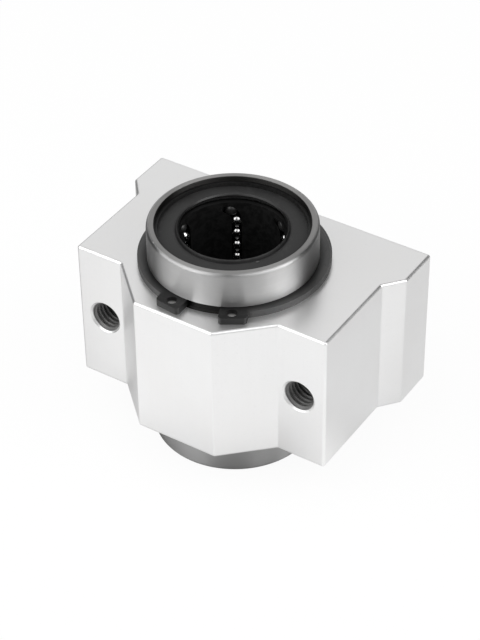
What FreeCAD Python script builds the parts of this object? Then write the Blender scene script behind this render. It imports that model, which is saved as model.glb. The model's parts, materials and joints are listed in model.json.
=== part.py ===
import FreeCAD, Part
import math
import os
import Sketcher
from FreeCAD import Placement, Rotation, Vector

# Linear bearing block for a 25 mm shaft: an aluminium housing of the short type
# that holds one ball bushing between two retaining rings.
#
# Frame: the bearing axis is Z, the housing's mounting face looks along +Y and
# its crown along -Y. The origin lies on the bearing axis at mid-length.
# Lengths are in millimetres and angles in degrees.

SIZES = {
    # ball bushing
    "shaft_diameter": 25.0,         # shaft that the bushing runs on
    "ball_diameter": 3.5,           # every ball
    "ball_clearance": 0.05,         # ball to the steel it rolls on
    "ball_spacing_gap": 0.1,        # least gap between two balls of a circuit
    "circuit_count": 6,             # closed ball circuits round the shaft
    "return_row_rise": 1.15,        # returning row lies this much further out
    "sleeve_wall": 2.8,             # steel outside the returning balls
    "sleeve_length": 59.0,          # end face to end face
    "sleeve_edge_round": 0.8,       # outer edge of each end face
    "sleeve_rim_chamfer": 0.25,     # inner edge of each end face
    "bushing_turn": 30.0,           # how the bushing is turned in its bore
    # ball cage
    "channel_clearance": 0.1,       # ball to the wall of its channel
    "row_wall": 2.3,                # island between the two rows of a circuit
    "cage_shaft_gap": 0.35,         # cage bore to shaft, each side
    "cage_sleeve_gap": 0.1,         # cage to raceway, each side
    "cage_end_gap": 0.1,            # cage end to seal
    "cage_end_wall": 0.6,           # plastic beyond the turning balls
    "cage_bore_chamfer": 0.4,       # lead-in at both ends of the cage bore
    # end seals and the snap rings that hold them
    "seal_recess_depth": 3.2,       # end face down to the seal's seat
    "seal_seat": 0.8,               # width of the shoulder the seal sits on
    "seal_fit_gap": 0.05,           # seal to the recess wall
    "seal_thickness": 0.9,          # flat outer part of the seal
    "seal_lip_height": 1.2,         # wiping lip above the flat part
    "seal_lip_width": 0.35,         # bevelled top of the lip
    "seal_lip_edge": 0.15,          # wiping edge that touches the shaft
    "seal_lip_foot": 0.4,           # lip's root beyond its top
    "seal_groove_depth": 0.1,       # relief behind the lip
    "seal_groove_width": 0.5,       # relief behind the lip
    "seal_cone_rise": 0.5,          # swell of the seal towards its lip
    "seal_undercut_width": 1.25,    # hollow under the lip
    "seal_undercut_slope": 0.95,    # hollow under the lip, along the axis
    "snap_ring_thickness": 1.0,     # along the axis
    "snap_ring_stand": 0.6,         # part that shows inside the recess
    "snap_ring_hold": 0.5,          # part that sits in the sleeve
    "snap_groove_gap": 0.1,         # groove wider and deeper than its ring
    "snap_ring_opening": 14.0,      # angle left open where the ring is split
    # retaining rings on the sleeve
    "ring_groove_spacing": 41.0,    # outer walls of the two grooves
    "ring_groove_width": 1.85,      # along the axis
    "ring_groove_depth": 1.0,       # into the sleeve
    "ring_thickness": 1.75,         # spring steel
    "ring_seat_gap": 0.02,          # ring to the bottom of its groove
    "ring_band_width": 3.6,         # mean width of the ring's band
    "ring_band_taper": 0.9,         # outer circle is this far off centre
    "ring_open_angle": 23.0,        # gap between the two lugs
    "ring_lug_angle": 15.2,         # arc that one lug takes at its outer edge
    "ring_lug_flare": 3.2,          # how much wider the lug is at its root
    "ring_lug_height": 5.15,        # groove bottom to the lug's outer edge
    "ring_lug_corner": 0.8,         # rounding of the lugs
    "ring_hole_diameter": 2.5,      # pliers hole in each lug
    "ring_hole_height": 3.0,        # groove bottom to the hole's centre
    "upper_ring_turn": 13.0,        # how the upper ring is turned on the sleeve
    "lower_ring_turn": 123.0,       # how the lower ring is turned on the sleeve
    # housing
    "bore_clearance": 0.02,         # housing bore to sleeve, each side
    "bore_chamfer": 0.4,            # both ends of the housing bore
    "base_wall": 6.0,               # sleeve to the mounting face
    "crown_wall": 5.5,              # sleeve to the crown's flat
    "crown_width": 21.1,            # flat of the crown
    "crown_foot": 1.5,              # sleeve's side to the foot of the crown
    "ear_height": 15.0,             # bearing axis to the ears' front faces
    "ear_margin": 7.1,              # bolt hole to the ear's side
    "flange_margin": 11.0,          # bolt hole to the flange's side
    "flange_thickness": 11.5,       # full-width stretch at the mounting face
    "flange_step": 4.7,             # slanted step from flange to ear
    "hole_wall": 3.0,               # metal between bore and bolt hole
    "thread_diameter": 8.0,         # M8, at its full diameter
    "thread_depth": 18.0,           # from the ear's front face
    "bolt_hole_diameter": 7.0,      # the rest of the way to the mounting face
    "hole_chamfer": 0.35,           # mouth of the threaded hole
    "edge_round": 0.7,              # all corners of the extrusion and its ends
}


def formula(text):
    """Writes a sheet formula: each word that names a size becomes Sizes.word."""
    words = []
    word = ""
    for letter in text + " ":
        if letter.isalnum() or letter == "_":
            word += letter
            continue
        words.append("Sizes." + word if word in SIZES else word)
        words.append(letter)
        word = ""
    return "(" + "".join(words).strip() + ")"


# Formulas for the sizes that follow from the driving ones.
BALL_RADIUS = formula("ball_diameter / 2")
LOADED_ROW = formula("(shaft_diameter + ball_diameter) / 2")
RETURN_ROW = f"({LOADED_ROW} + Sizes.return_row_rise)"
RACEWAY = f"({LOADED_ROW} + {BALL_RADIUS} + Sizes.ball_clearance)"
TURN_SPACE = f"({RETURN_ROW} + {BALL_RADIUS} + Sizes.ball_clearance)"
SLEEVE_RADIUS = f"({TURN_SPACE} + Sizes.sleeve_wall)"
SLEEVE_HALF = formula("sleeve_length / 2")
RECESS_RADIUS = f"({TURN_SPACE} + Sizes.seal_seat)"
SEAT_PLANE = f"({SLEEVE_HALF} - Sizes.seal_recess_depth)"
SEAL_FACE = f"({SEAT_PLANE} + Sizes.seal_thickness)"
SNAP_GROOVE_TOP = f"({SEAL_FACE} + Sizes.snap_ring_thickness + Sizes.snap_groove_gap)"
SNAP_GROOVE_RADIUS = f"({RECESS_RADIUS} + Sizes.snap_ring_hold + Sizes.snap_groove_gap)"
GROOVE_RADIUS = f"({SLEEVE_RADIUS} - Sizes.ring_groove_depth)"
GROOVE_OUTER = formula("ring_groove_spacing / 2")
GROOVE_INNER = f"({GROOVE_OUTER} - Sizes.ring_groove_width)"
BLOCK_LENGTH = f"(2 * {GROOVE_INNER})"

CHANNEL_RADIUS = f"({BALL_RADIUS} + Sizes.channel_clearance)"
TURN_RADIUS = f"({CHANNEL_RADIUS} + Sizes.row_wall / 2)"
CAGE_BORE = formula("shaft_diameter / 2 + cage_shaft_gap")
CAGE_RADIUS = f"({RACEWAY} - Sizes.cage_sleeve_gap)"
CAGE_HALF = f"({SEAT_PLANE} - Sizes.cage_end_gap)"
TRACK_HALF = f"({CAGE_HALF} - Sizes.cage_end_wall - {CHANNEL_RADIUS} - {TURN_RADIUS})"
# A circuit's two rows lie at two distances from the axis. Its centre line is a
# flat racetrack, and these two formulas say where its plane and middle are.
TRACK_MIDDLE = f"(({RETURN_ROW}^2 - {LOADED_ROW}^2) / (4 * {TURN_RADIUS}))"
TRACK_PLANE = f"sqrt({LOADED_ROW}^2 - ({TRACK_MIDDLE} - {TURN_RADIUS})^2)"

BORE_RADIUS = f"({SLEEVE_RADIUS} + Sizes.bore_clearance)"
MOUNTING_FACE = f"({SLEEVE_RADIUS} + Sizes.base_wall)"
CROWN_FACE = f"({SLEEVE_RADIUS} + Sizes.crown_wall)"
HOLE_OFFSET = f"({SLEEVE_RADIUS} + Sizes.hole_wall + Sizes.thread_diameter / 2)"

SAME = 0.001    # two lengths that differ by less than this are taken as equal

doc = FreeCAD.newDocument("linear_bearing_block")
sheet = doc.addObject("Spreadsheet::Sheet", "Sizes")
for row, (alias, number) in enumerate(SIZES.items(), start=1):
    sheet.set(f"A{row}", alias)
    sheet.set(f"B{row}", str(number))
    sheet.setAlias(f"B{row}", alias)
doc.recompute()


def value(expression):
    """Number that a formula gives with the sheet's present sizes."""
    result = sheet.evalExpression(expression)
    return float(getattr(result, "Value", result))


def new_body(name):
    """Empty body whose label is the name of its part file."""
    body = doc.addObject("PartDesign::Body", name)
    body.Label = name
    return body


def origin_feature(body, role):
    """Origin plane or axis of a body, found by its role."""
    return next(item for item in body.Origin.OriginFeatures if item.Role == role)


def new_sketch(body, name, role, offset=None):
    """Sketch on an origin plane of the body, moved along the plane's normal."""
    sketch = body.newObject("Sketcher::SketchObject", name)
    sketch.AttachmentSupport = [(origin_feature(body, role), "")]
    sketch.MapMode = "FlatFace"
    if offset is not None:
        sketch.setExpression("AttachmentOffset.Base.z", offset)
    return sketch


def pin(sketch, geometry, point, across, up):
    """Holds a sketch point at two formulas measured from the sketch's origin."""
    for kind, expression in (("DistanceX", across), ("DistanceY", up)):
        number = sketch.addConstraint(
            Sketcher.Constraint(kind, -1, 1, geometry, point, value(expression)))
        sketch.setExpression(f"Constraints[{number}]", expression)


def polygon(sketch, corners):
    """Closed outline of straight lines with every corner held by formulas."""
    points = [Vector(value(across), value(up), 0) for across, up in corners]
    lines = [sketch.addGeometry(Part.LineSegment(start, end))
             for start, end in zip(points, points[1:] + points[:1])]
    for line, following in zip(lines, lines[1:] + lines[:1]):
        sketch.addConstraint(Sketcher.Constraint("Coincident", line, 2, following, 1))
    for line, (across, up) in zip(lines, corners):
        pin(sketch, line, 1, across, up)


def circle(sketch, across, up, radius):
    """Circle with its centre and radius held by formulas."""
    centre = Vector(value(across), value(up), 0)
    geometry = sketch.addGeometry(Part.Circle(centre, Vector(0, 0, 1), value(radius)))
    pin(sketch, geometry, 3, across, up)
    number = sketch.addConstraint(Sketcher.Constraint("Radius", geometry, value(radius)))
    sketch.setExpression(f"Constraints[{number}]", radius)


def racetrack(sketch, middle, half_length, radius):
    """Two upright straights joined by two half circles, symmetric about the plane."""
    x, half, turn = value(middle), value(half_length), value(radius)
    upper = sketch.addGeometry(Part.ArcOfCircle(
        Part.Circle(Vector(x, half, 0), Vector(0, 0, 1), turn), 0, math.pi))
    left = sketch.addGeometry(Part.LineSegment(
        Vector(x - turn, half, 0), Vector(x - turn, -half, 0)))
    lower = sketch.addGeometry(Part.ArcOfCircle(
        Part.Circle(Vector(x, -half, 0), Vector(0, 0, 1), turn), math.pi, 2 * math.pi))
    right = sketch.addGeometry(Part.LineSegment(
        Vector(x + turn, -half, 0), Vector(x + turn, half, 0)))
    for first, end, second, start in ((upper, 2, left, 1), (left, 2, lower, 1),
                                      (lower, 2, right, 1), (right, 2, upper, 1)):
        sketch.addConstraint(Sketcher.Constraint("Tangent", first, end, second, start))
    pin(sketch, upper, 3, middle, half_length)
    pin(sketch, lower, 3, middle, f"-{half_length}")
    number = sketch.addConstraint(Sketcher.Constraint("Radius", upper, turn))
    sketch.setExpression(f"Constraints[{number}]", radius)


def revolve(body, sketch, kind="PartDesign::Revolution"):
    """Full turn of a sketch about the body's Z axis, added or cut away."""
    feature = body.newObject(kind, sketch.Name + "_turned")
    feature.Profile = sketch
    feature.ReferenceAxis = (origin_feature(body, "Z_Axis"), [""])
    feature.Angle = 360
    doc.recompute()
    return feature


def pad(body, sketch, length, midplane=False):
    """Extrusion of a sketch along its normal."""
    feature = body.newObject("PartDesign::Pad", sketch.Name + "_pad")
    feature.Profile = sketch
    feature.SideType = "Symmetric" if midplane else "One side"
    feature.setExpression("Length", length)
    doc.recompute()
    return feature


def pocket(body, sketch, length=None, midplane=False, reverse=False):
    """Cut of a sketch through the body, proved by the volume that it takes."""
    before = body.Shape.Volume
    feature = body.newObject("PartDesign::Pocket", sketch.Name + "_cut")
    feature.Profile = sketch
    feature.SideType = "Symmetric" if midplane else "One side"
    feature.Reversed = reverse
    if length is None:
        feature.Type = "ThroughAll"
    else:
        feature.setExpression("Length", length)
    doc.recompute()
    if not body.Shape.Volume < before:
        raise RuntimeError(f"{feature.Name} cuts nothing")
    return feature


def polar_pattern(body, originals, count):
    """Copies of features round the body's Z axis, made the body's tip."""
    feature = body.newObject("PartDesign::PolarPattern", originals[0].Name + "_round")
    feature.Originals = originals
    feature.Axis = (origin_feature(body, "Z_Axis"), [""])
    feature.Angle = 360
    feature.setExpression("Occurrences", count)
    body.Tip = feature
    doc.recompute()
    return feature


def mirror(body, originals, role):
    """Mirror image of features in an origin plane, made the body's tip."""
    feature = body.newObject("PartDesign::Mirrored", originals[0].Name + "_mirrored")
    feature.Originals = originals
    feature.MirrorPlane = (origin_feature(body, role), [""])
    body.Tip = feature
    doc.recompute()
    return feature


def dress_edges(body, kind, name, size_property, size, chosen):
    """Chamfer or fillet on the edges of the tip that a test picks out."""
    tip = body.Tip
    names = [f"Edge{number}" for number, edge in enumerate(tip.Shape.Edges, start=1)
             if not edge.Degenerated and chosen(edge)]
    if not names:
        raise RuntimeError(f"{name} finds no edge")
    feature = body.newObject(kind, name)
    feature.Base = (tip, names)
    feature.setExpression(size_property, size)
    doc.recompute()
    return feature


def distance_from_axis(point):
    """How far a point lies from the Z axis."""
    return math.hypot(point.x, point.y)


def is_upright(edge):
    """Whether an edge is a straight line along Z."""
    start, end = edge.Vertexes[0].Point, edge.Vertexes[-1].Point
    along = abs(end.z - start.z)
    return along > 0 and distance_from_axis(end - start) < along / 1000


def is_level_at(edge, height):
    """Whether an edge lies in a plane z = height or z = -height."""
    box = edge.BoundBox
    return box.ZLength < SAME and abs(abs(box.ZMax) - height) < SAME


def is_round(edge, radius):
    """Whether an edge is an arc or circle of this radius."""
    return isinstance(edge.Curve, Part.Circle) and abs(edge.Curve.Radius - radius) < SAME


def make_housing():
    """Extruded block with its bore and its two threaded mounting holes."""
    body = new_body("housing_block")
    half_width = f"({HOLE_OFFSET} + Sizes.flange_margin)"
    half_ears = f"({HOLE_OFFSET} + Sizes.ear_margin)"
    crown_foot = f"({SLEEVE_RADIUS} + Sizes.crown_foot)"
    flange_front = f"({MOUNTING_FACE} - Sizes.flange_thickness)"
    right_side = (
        ("Sizes.crown_width / 2", f"-{CROWN_FACE}"),
        (crown_foot, "-Sizes.ear_height"),
        (half_ears, "-Sizes.ear_height"),
        (half_ears, f"({flange_front} - Sizes.flange_step)"),
        (half_width, flange_front),
        (half_width, MOUNTING_FACE),
    )
    left_side = tuple((f"-{across}", up) for across, up in reversed(right_side))
    profile = new_sketch(body, "housing_profile", "XY_Plane")
    polygon(profile, right_side + left_side)
    pad(body, profile, BLOCK_LENGTH, midplane=True)
    end_plane = value(BLOCK_LENGTH) / 2
    dress_edges(body, "PartDesign::Fillet", "housing_edges", "Radius", "Sizes.edge_round",
                lambda edge: is_level_at(edge, end_plane) or is_upright(edge))

    bore = new_sketch(body, "housing_bore", "XY_Plane")
    circle(bore, "0", "0", BORE_RADIUS)
    pocket(body, bore, midplane=True)
    dress_edges(body, "PartDesign::Chamfer", "housing_bore_edges", "Size",
                "Sizes.bore_chamfer", lambda edge: is_round(edge, value(BORE_RADIUS)))

    # The XZ plane's normal looks along -Y, towards the ears' front faces.
    bolt_hole = new_sketch(body, "bolt_hole", "XZ_Plane")
    circle(bolt_hole, HOLE_OFFSET, "0", "Sizes.bolt_hole_diameter / 2")
    through = pocket(body, bolt_hole, midplane=True)
    thread = new_sketch(body, "threaded_hole", "XZ_Plane", "Sizes.ear_height")
    circle(thread, HOLE_OFFSET, "0", "Sizes.thread_diameter / 2")
    threaded = pocket(body, thread, "Sizes.thread_depth")
    mirror(body, [through, threaded], "YZ_Plane")

    def is_hole_mouth(edge):
        radius = value("Sizes.thread_diameter / 2")
        front = value("-Sizes.ear_height")
        return is_round(edge, radius) and abs(edge.Curve.Center.y - front) < SAME

    dress_edges(body, "PartDesign::Chamfer", "hole_mouths", "Size",
                "Sizes.hole_chamfer", is_hole_mouth)
    return body


def make_sleeve():
    """Hardened outer sleeve, turned inside and out, with its return grooves."""
    body = new_body("bearing_sleeve")
    rim_edge = f"({RECESS_RADIUS} + Sizes.sleeve_rim_chamfer)"
    upper_half = (
        (SLEEVE_RADIUS, GROOVE_INNER),
        (GROOVE_RADIUS, GROOVE_INNER),
        (GROOVE_RADIUS, GROOVE_OUTER),
        (SLEEVE_RADIUS, GROOVE_OUTER),
        (SLEEVE_RADIUS, SLEEVE_HALF),
        (rim_edge, SLEEVE_HALF),
        (RECESS_RADIUS, f"({SLEEVE_HALF} - Sizes.sleeve_rim_chamfer)"),
        (RECESS_RADIUS, SNAP_GROOVE_TOP),
        (SNAP_GROOVE_RADIUS, SNAP_GROOVE_TOP),
        (SNAP_GROOVE_RADIUS, SEAL_FACE),
        (RECESS_RADIUS, SEAL_FACE),
        (RECESS_RADIUS, SEAT_PLANE),
        (TURN_SPACE, SEAT_PLANE),
        (TURN_SPACE, f"({TRACK_HALF} + {TURN_SPACE} - {RACEWAY})"),
        (RACEWAY, TRACK_HALF),
    )
    lower_half = tuple((across, f"-{up}") for across, up in reversed(upper_half))
    section = new_sketch(body, "sleeve_section", "XZ_Plane")
    polygon(section, upper_half + lower_half)
    revolve(body, section)
    end_plane = value(SLEEVE_HALF)
    dress_edges(body, "PartDesign::Fillet", "sleeve_end_edges", "Radius",
                "Sizes.sleeve_edge_round",
                lambda edge: is_level_at(edge, end_plane) and is_round(edge, value(SLEEVE_RADIUS)))

    groove = new_sketch(body, "return_groove", "XY_Plane")
    circle(groove, f"-({TRACK_MIDDLE} + {TURN_RADIUS})", TRACK_PLANE,
           f"({BALL_RADIUS} + Sizes.ball_clearance)")
    cut = pocket(body, groove, f"(2 * {SEAT_PLANE})", midplane=True)
    polar_pattern(body, [cut], "Sizes.circuit_count")
    turn_with_bushing(body)
    return body


def turn_with_bushing(item):
    """Turns a piece of the bushing about the bearing axis by the common angle."""
    item.Placement = Placement(Vector(0, 0, 0), Rotation(Vector(0, 0, 1), 0))
    item.setExpression("Placement.Rotation.Angle", "Sizes.bushing_turn")


def make_cage():
    """One-piece cage: a tube with a closed racetrack channel for each circuit."""
    body = new_body("ball_cage")
    bore_edge = f"({CAGE_BORE} + Sizes.cage_bore_chamfer)"
    upper_half = (
        (CAGE_RADIUS, CAGE_HALF),
        (bore_edge, CAGE_HALF),
        (CAGE_BORE, f"({CAGE_HALF} - Sizes.cage_bore_chamfer)"),
    )
    lower_half = tuple((across, f"-{up}") for across, up in reversed(upper_half))
    section = new_sketch(body, "cage_section", "XZ_Plane")
    polygon(section, upper_half + lower_half)
    revolve(body, section)

    # The channel is round where the balls sit and straight-walled outside them,
    # so that the cage is filled from outside before it goes into the sleeve.
    middle = f"-{TRACK_MIDDLE}"
    mouth = new_sketch(body, "channel_mouth", "XZ_Plane", f"-{TRACK_PLANE}")
    racetrack(mouth, middle, TRACK_HALF, f"({TURN_RADIUS} + {CHANNEL_RADIUS})")
    racetrack(mouth, middle, TRACK_HALF, f"({TURN_RADIUS} - {CHANNEL_RADIUS})")
    opening = pocket(body, mouth)

    path = new_sketch(body, "channel_path", "XZ_Plane", f"-{TRACK_PLANE}")
    racetrack(path, middle, TRACK_HALF, TURN_RADIUS)
    ring = new_sketch(body, "channel_round", "XY_Plane")
    circle(ring, f"-({TRACK_MIDDLE} - {TURN_RADIUS})", TRACK_PLANE, CHANNEL_RADIUS)
    before = body.Shape.Volume
    channel = body.newObject("PartDesign::SubtractivePipe", "channel")
    channel.Profile = ring
    channel.Spine = (path, [])
    doc.recompute()
    if not body.Shape.Volume < before:
        raise RuntimeError("channel cuts nothing")
    polar_pattern(body, [opening, channel], "Sizes.circuit_count")
    turn_with_bushing(body)
    return body


def make_seal(name, upward):
    """Rubber end seal: flat rim, swelling face, relief and wiping lip."""
    body = new_body(name)
    lip_radius = formula("shaft_diameter / 2")
    lip_outer = f"({lip_radius} + Sizes.seal_lip_width)"
    lip_foot = f"({lip_outer} + Sizes.seal_lip_foot)"
    hollow = f"({lip_radius} + Sizes.seal_undercut_width)"
    swell_top = f"({SEAL_FACE} + Sizes.seal_cone_rise)"
    lip_top = f"({SEAL_FACE} + Sizes.seal_lip_height)"
    edge_top = f"({lip_top} - Sizes.seal_lip_width)"
    edge_low = f"({edge_top} - Sizes.seal_lip_edge)"
    rim = f"({RECESS_RADIUS} - Sizes.seal_fit_gap)"
    section = new_sketch(body, name + "_section", "XZ_Plane")
    polygon(section, (
        (rim, SEAT_PLANE),
        (rim, SEAL_FACE),
        (f"({RECESS_RADIUS} - Sizes.snap_ring_stand)", SEAL_FACE),
        (f"({lip_foot} + Sizes.seal_groove_width)", swell_top),
        (lip_foot, f"({swell_top} - Sizes.seal_groove_depth)"),
        (lip_outer, lip_top),
        (lip_radius, edge_top),
        (lip_radius, edge_low),
        (hollow, f"({edge_low} - Sizes.seal_undercut_slope)"),
        (hollow, SEAT_PLANE),
    ))
    revolve(body, section)
    if not upward:
        body.Placement = Placement(Vector(0, 0, 0), Rotation(Vector(1, 0, 0), 180))
    return body


def make_snap_ring(name, upward):
    """Split ring of spring steel that holds a seal on its seat."""
    body = new_body(name)
    inner = f"({RECESS_RADIUS} - Sizes.snap_ring_stand)"
    outer = f"({RECESS_RADIUS} + Sizes.snap_ring_hold)"
    section = new_sketch(body, name + "_section", "XZ_Plane")
    top = f"({SEAL_FACE} + Sizes.snap_ring_thickness)"
    polygon(section, ((inner, SEAL_FACE), (outer, SEAL_FACE), (outer, top), (inner, top)))
    band = revolve(body, section)
    band.setExpression("Angle", "360 - Sizes.snap_ring_opening")
    doc.recompute()
    if not upward:
        body.Placement = Placement(Vector(0, 0, 0), Rotation(Vector(1, 0, 0), 180))
    return body


def make_retaining_ring(name, upward, turn):
    """External retaining ring: a tapering band that ends in two drilled lugs."""
    body = new_body(name)
    inner = f"({GROOVE_RADIUS} + Sizes.ring_seat_gap)"
    middle = f"({inner} + Sizes.ring_band_width)"
    band = new_sketch(body, name + "_band", "XY_Plane")
    circle(band, "0", "0", inner)
    circle(band, "0", "Sizes.ring_band_taper", middle)
    pad(body, band, "Sizes.ring_thickness")

    gap_side = "(Sizes.ring_open_angle / 2 * 1 deg)"
    far_side = "((Sizes.ring_open_angle / 2 + Sizes.ring_lug_angle) * 1 deg)"
    root_side = "((Sizes.ring_open_angle / 2 + Sizes.ring_lug_angle + Sizes.ring_lug_flare) * 1 deg)"
    hole_side = "((Sizes.ring_open_angle + Sizes.ring_lug_angle) / 2 * 1 deg)"
    foot = f"({inner} + Sizes.ring_band_width / 2)"
    tip = f"({inner} + Sizes.ring_lug_height)"
    hole_centre = f"({inner} + Sizes.ring_hole_height)"

    def at(radius, angle):
        """Point at an angle from the middle of the ring's opening."""
        return (f"{radius} * sin({angle})", f"-{radius} * cos({angle})")

    lug = new_sketch(body, name + "_lug", "XY_Plane")
    polygon(lug, (at(foot, gap_side), at(tip, gap_side), at(tip, far_side),
                  at(foot, root_side)))
    lug_pad = pad(body, lug, "Sizes.ring_thickness")
    hole = new_sketch(body, name + "_hole", "XY_Plane")
    circle(hole, *at(hole_centre, hole_side), "Sizes.ring_hole_diameter / 2")
    hole_cut = pocket(body, hole, midplane=True)
    mirror(body, [lug_pad, hole_cut], "YZ_Plane")
    opening = new_sketch(body, name + "_opening", "XY_Plane")
    left, down = at(f"(2 * {tip})", gap_side)
    polygon(opening, (("0", "0"), (f"-({left})", down), (left, down)))
    pocket(body, opening, midplane=True)

    lug_tip = value(tip)
    dress_edges(body, "PartDesign::Fillet", name + "_corners", "Radius",
                "Sizes.ring_lug_corner",
                lambda edge: is_upright(edge) and not isinstance(edge.Curve, Part.Circle)
                and abs(distance_from_axis(edge.Vertexes[0].Point) - lug_tip) < SAME)
    body.Placement = Placement(Vector(0, 0, 0), Rotation(Vector(0, 0, 1), 0))
    body.setExpression("Placement.Rotation.Angle", turn)
    seat = GROOVE_INNER if upward else f"-({GROOVE_INNER} + Sizes.ring_thickness)"
    body.setExpression("Placement.Base.z", seat)
    doc.recompute()
    return body


def turn_point(along):
    """Ball centre on the upper bend, at a path length from where it starts.

    A length below zero is still on the loaded row, and one past the half circle
    is already on the returning row.
    """
    half, turn = value(TRACK_HALF), value(TURN_RADIUS)
    loaded_x = turn - value(TRACK_MIDDLE)
    bend = math.pi * turn
    if along < 0:
        return loaded_x, half + along
    if along > bend:
        return loaded_x - 2 * turn, half - (along - bend)
    angle = along / turn
    return loaded_x - turn + turn * math.cos(angle), half + turn * math.sin(angle)


def ball_places():
    """Ball centres of one circuit: its loaded row, and all the others."""
    half, turn = value(TRACK_HALF), value(TURN_RADIUS)
    diameter = value("Sizes.ball_diameter")
    pitch = diameter + value("Sizes.ball_spacing_gap")
    steps = int(2 * half / pitch)
    row_end = steps * pitch / 2
    heights = [number * pitch - row_end for number in range(steps + 1)]
    run_out = half - row_end
    bend_path = 2 * run_out + math.pi * turn
    least_step = 2 * turn * math.asin(diameter / (2 * turn))
    bend_steps = int(bend_path / least_step)
    loaded_x = turn - value(TRACK_MIDDLE)
    loaded = [(loaded_x, z) for z in heights]
    returning = [(loaded_x - 2 * turn, z) for z in heights]
    for number in range(1, bend_steps):
        x, z = turn_point(number * bend_path / bend_steps - run_out)
        returning += [(x, z), (x, -z)]
    plane = value(TRACK_PLANE)
    return tuple([Vector(x, plane, z) for x, z in row] for row in (loaded, returning))


def make_balls():
    """Ball trains of all circuits: the loaded row, and the rest of each train."""
    radius = value(BALL_RADIUS)
    count = int(value("Sizes.circuit_count"))
    made = []
    loaded, returning = ball_places()
    for circuit in range(count):
        turned = Rotation(Vector(0, 0, 1), value("Sizes.bushing_turn") + 360 * circuit / count)
        for row_name, centres in (("loaded_balls", loaded), ("return_balls", returning)):
            label = f"{row_name}_{circuit + 1}"
            row = doc.addObject("Part::Feature", label)
            row.Label = label
            row.Shape = Part.makeCompound([Part.makeSphere(radius, centre)
                                           for centre in centres])
            row.Placement = Placement(Vector(0, 0, 0), turned)
            made.append(row)
    return made


def check_document():
    """Stops the build if any object of the document has failed."""
    for item in doc.Objects:
        if "Invalid" in item.State or "Error" in item.State:
            raise RuntimeError(f"{item.Label} is {item.State}")


def export(pieces):
    """Writes each piece to its own file once all of them are sound."""
    for piece in pieces:
        if piece.Shape.isNull() or not piece.Shape.isValid():
            raise RuntimeError(f"{piece.Label} has no valid shape")
    os.makedirs("parts", exist_ok=True)
    for piece in pieces:
        piece.Shape.exportStep(os.path.join("parts", piece.Label + ".step"))
        print(f"{piece.Label}: {len(piece.Shape.Solids)} solids, "
              f"{piece.Shape.Volume:.2f} mm3")


def main():
    """Builds every piece and writes the part files."""
    pieces = [
        make_housing(),
        make_sleeve(),
        make_cage(),
        make_seal("upper_seal", upward=True),
        make_seal("lower_seal", upward=False),
        make_snap_ring("upper_snap_ring", upward=True),
        make_snap_ring("lower_snap_ring", upward=False),
        make_retaining_ring("upper_retaining_ring", True, "Sizes.upper_ring_turn"),
        make_retaining_ring("lower_retaining_ring", False, "Sizes.lower_ring_turn"),
    ]
    pieces.extend(make_balls())
    doc.recompute()
    check_document()
    export(pieces)


main()
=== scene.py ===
"""A linear bearing block: a ball bushing held in an extruded aluminium block by two rings.

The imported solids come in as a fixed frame, and this file dresses them. It gives each one its
finish, cuts the threads in the block's tapped holes, adds the small stub that moulding leaves
on each seal, and sets up the studio. Lengths are in metres unless a name says otherwise.
The bearing's axis is Z, the mounting face looks along +Y and the crown along -Y.
"""

import json
import logging
import math
from dataclasses import dataclass, field
from enum import Enum

import bmesh
import bpy
from mathutils import Matrix, Vector

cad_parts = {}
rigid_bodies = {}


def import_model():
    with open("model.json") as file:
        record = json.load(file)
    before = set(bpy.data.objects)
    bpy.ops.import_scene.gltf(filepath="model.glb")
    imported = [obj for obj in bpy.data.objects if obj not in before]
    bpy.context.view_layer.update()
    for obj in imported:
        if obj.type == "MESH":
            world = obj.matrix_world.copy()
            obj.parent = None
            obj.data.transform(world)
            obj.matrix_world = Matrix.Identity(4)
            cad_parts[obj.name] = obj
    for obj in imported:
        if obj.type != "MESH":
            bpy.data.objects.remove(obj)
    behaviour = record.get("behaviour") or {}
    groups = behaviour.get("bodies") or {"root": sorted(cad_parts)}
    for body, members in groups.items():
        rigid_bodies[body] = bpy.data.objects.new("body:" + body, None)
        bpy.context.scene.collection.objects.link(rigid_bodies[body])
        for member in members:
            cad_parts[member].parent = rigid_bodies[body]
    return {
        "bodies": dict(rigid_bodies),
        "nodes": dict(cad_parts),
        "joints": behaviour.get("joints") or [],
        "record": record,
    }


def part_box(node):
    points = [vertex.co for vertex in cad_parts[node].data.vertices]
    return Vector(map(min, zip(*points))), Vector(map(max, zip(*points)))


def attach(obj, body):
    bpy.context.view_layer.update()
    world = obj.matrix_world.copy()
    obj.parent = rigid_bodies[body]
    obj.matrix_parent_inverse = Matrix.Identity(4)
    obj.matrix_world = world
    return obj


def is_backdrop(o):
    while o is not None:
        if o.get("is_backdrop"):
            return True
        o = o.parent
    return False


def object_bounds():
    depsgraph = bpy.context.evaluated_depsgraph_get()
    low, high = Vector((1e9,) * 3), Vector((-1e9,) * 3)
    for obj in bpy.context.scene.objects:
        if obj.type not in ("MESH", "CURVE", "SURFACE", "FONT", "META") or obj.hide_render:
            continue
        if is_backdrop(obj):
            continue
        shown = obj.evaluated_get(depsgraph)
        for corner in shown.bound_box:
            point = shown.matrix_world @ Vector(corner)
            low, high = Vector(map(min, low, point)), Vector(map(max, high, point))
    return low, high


LOG = logging.getLogger("bearing_block")
MM = 0.001
BODY = "root"


# ---------------------------------------------------------------- node work


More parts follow.
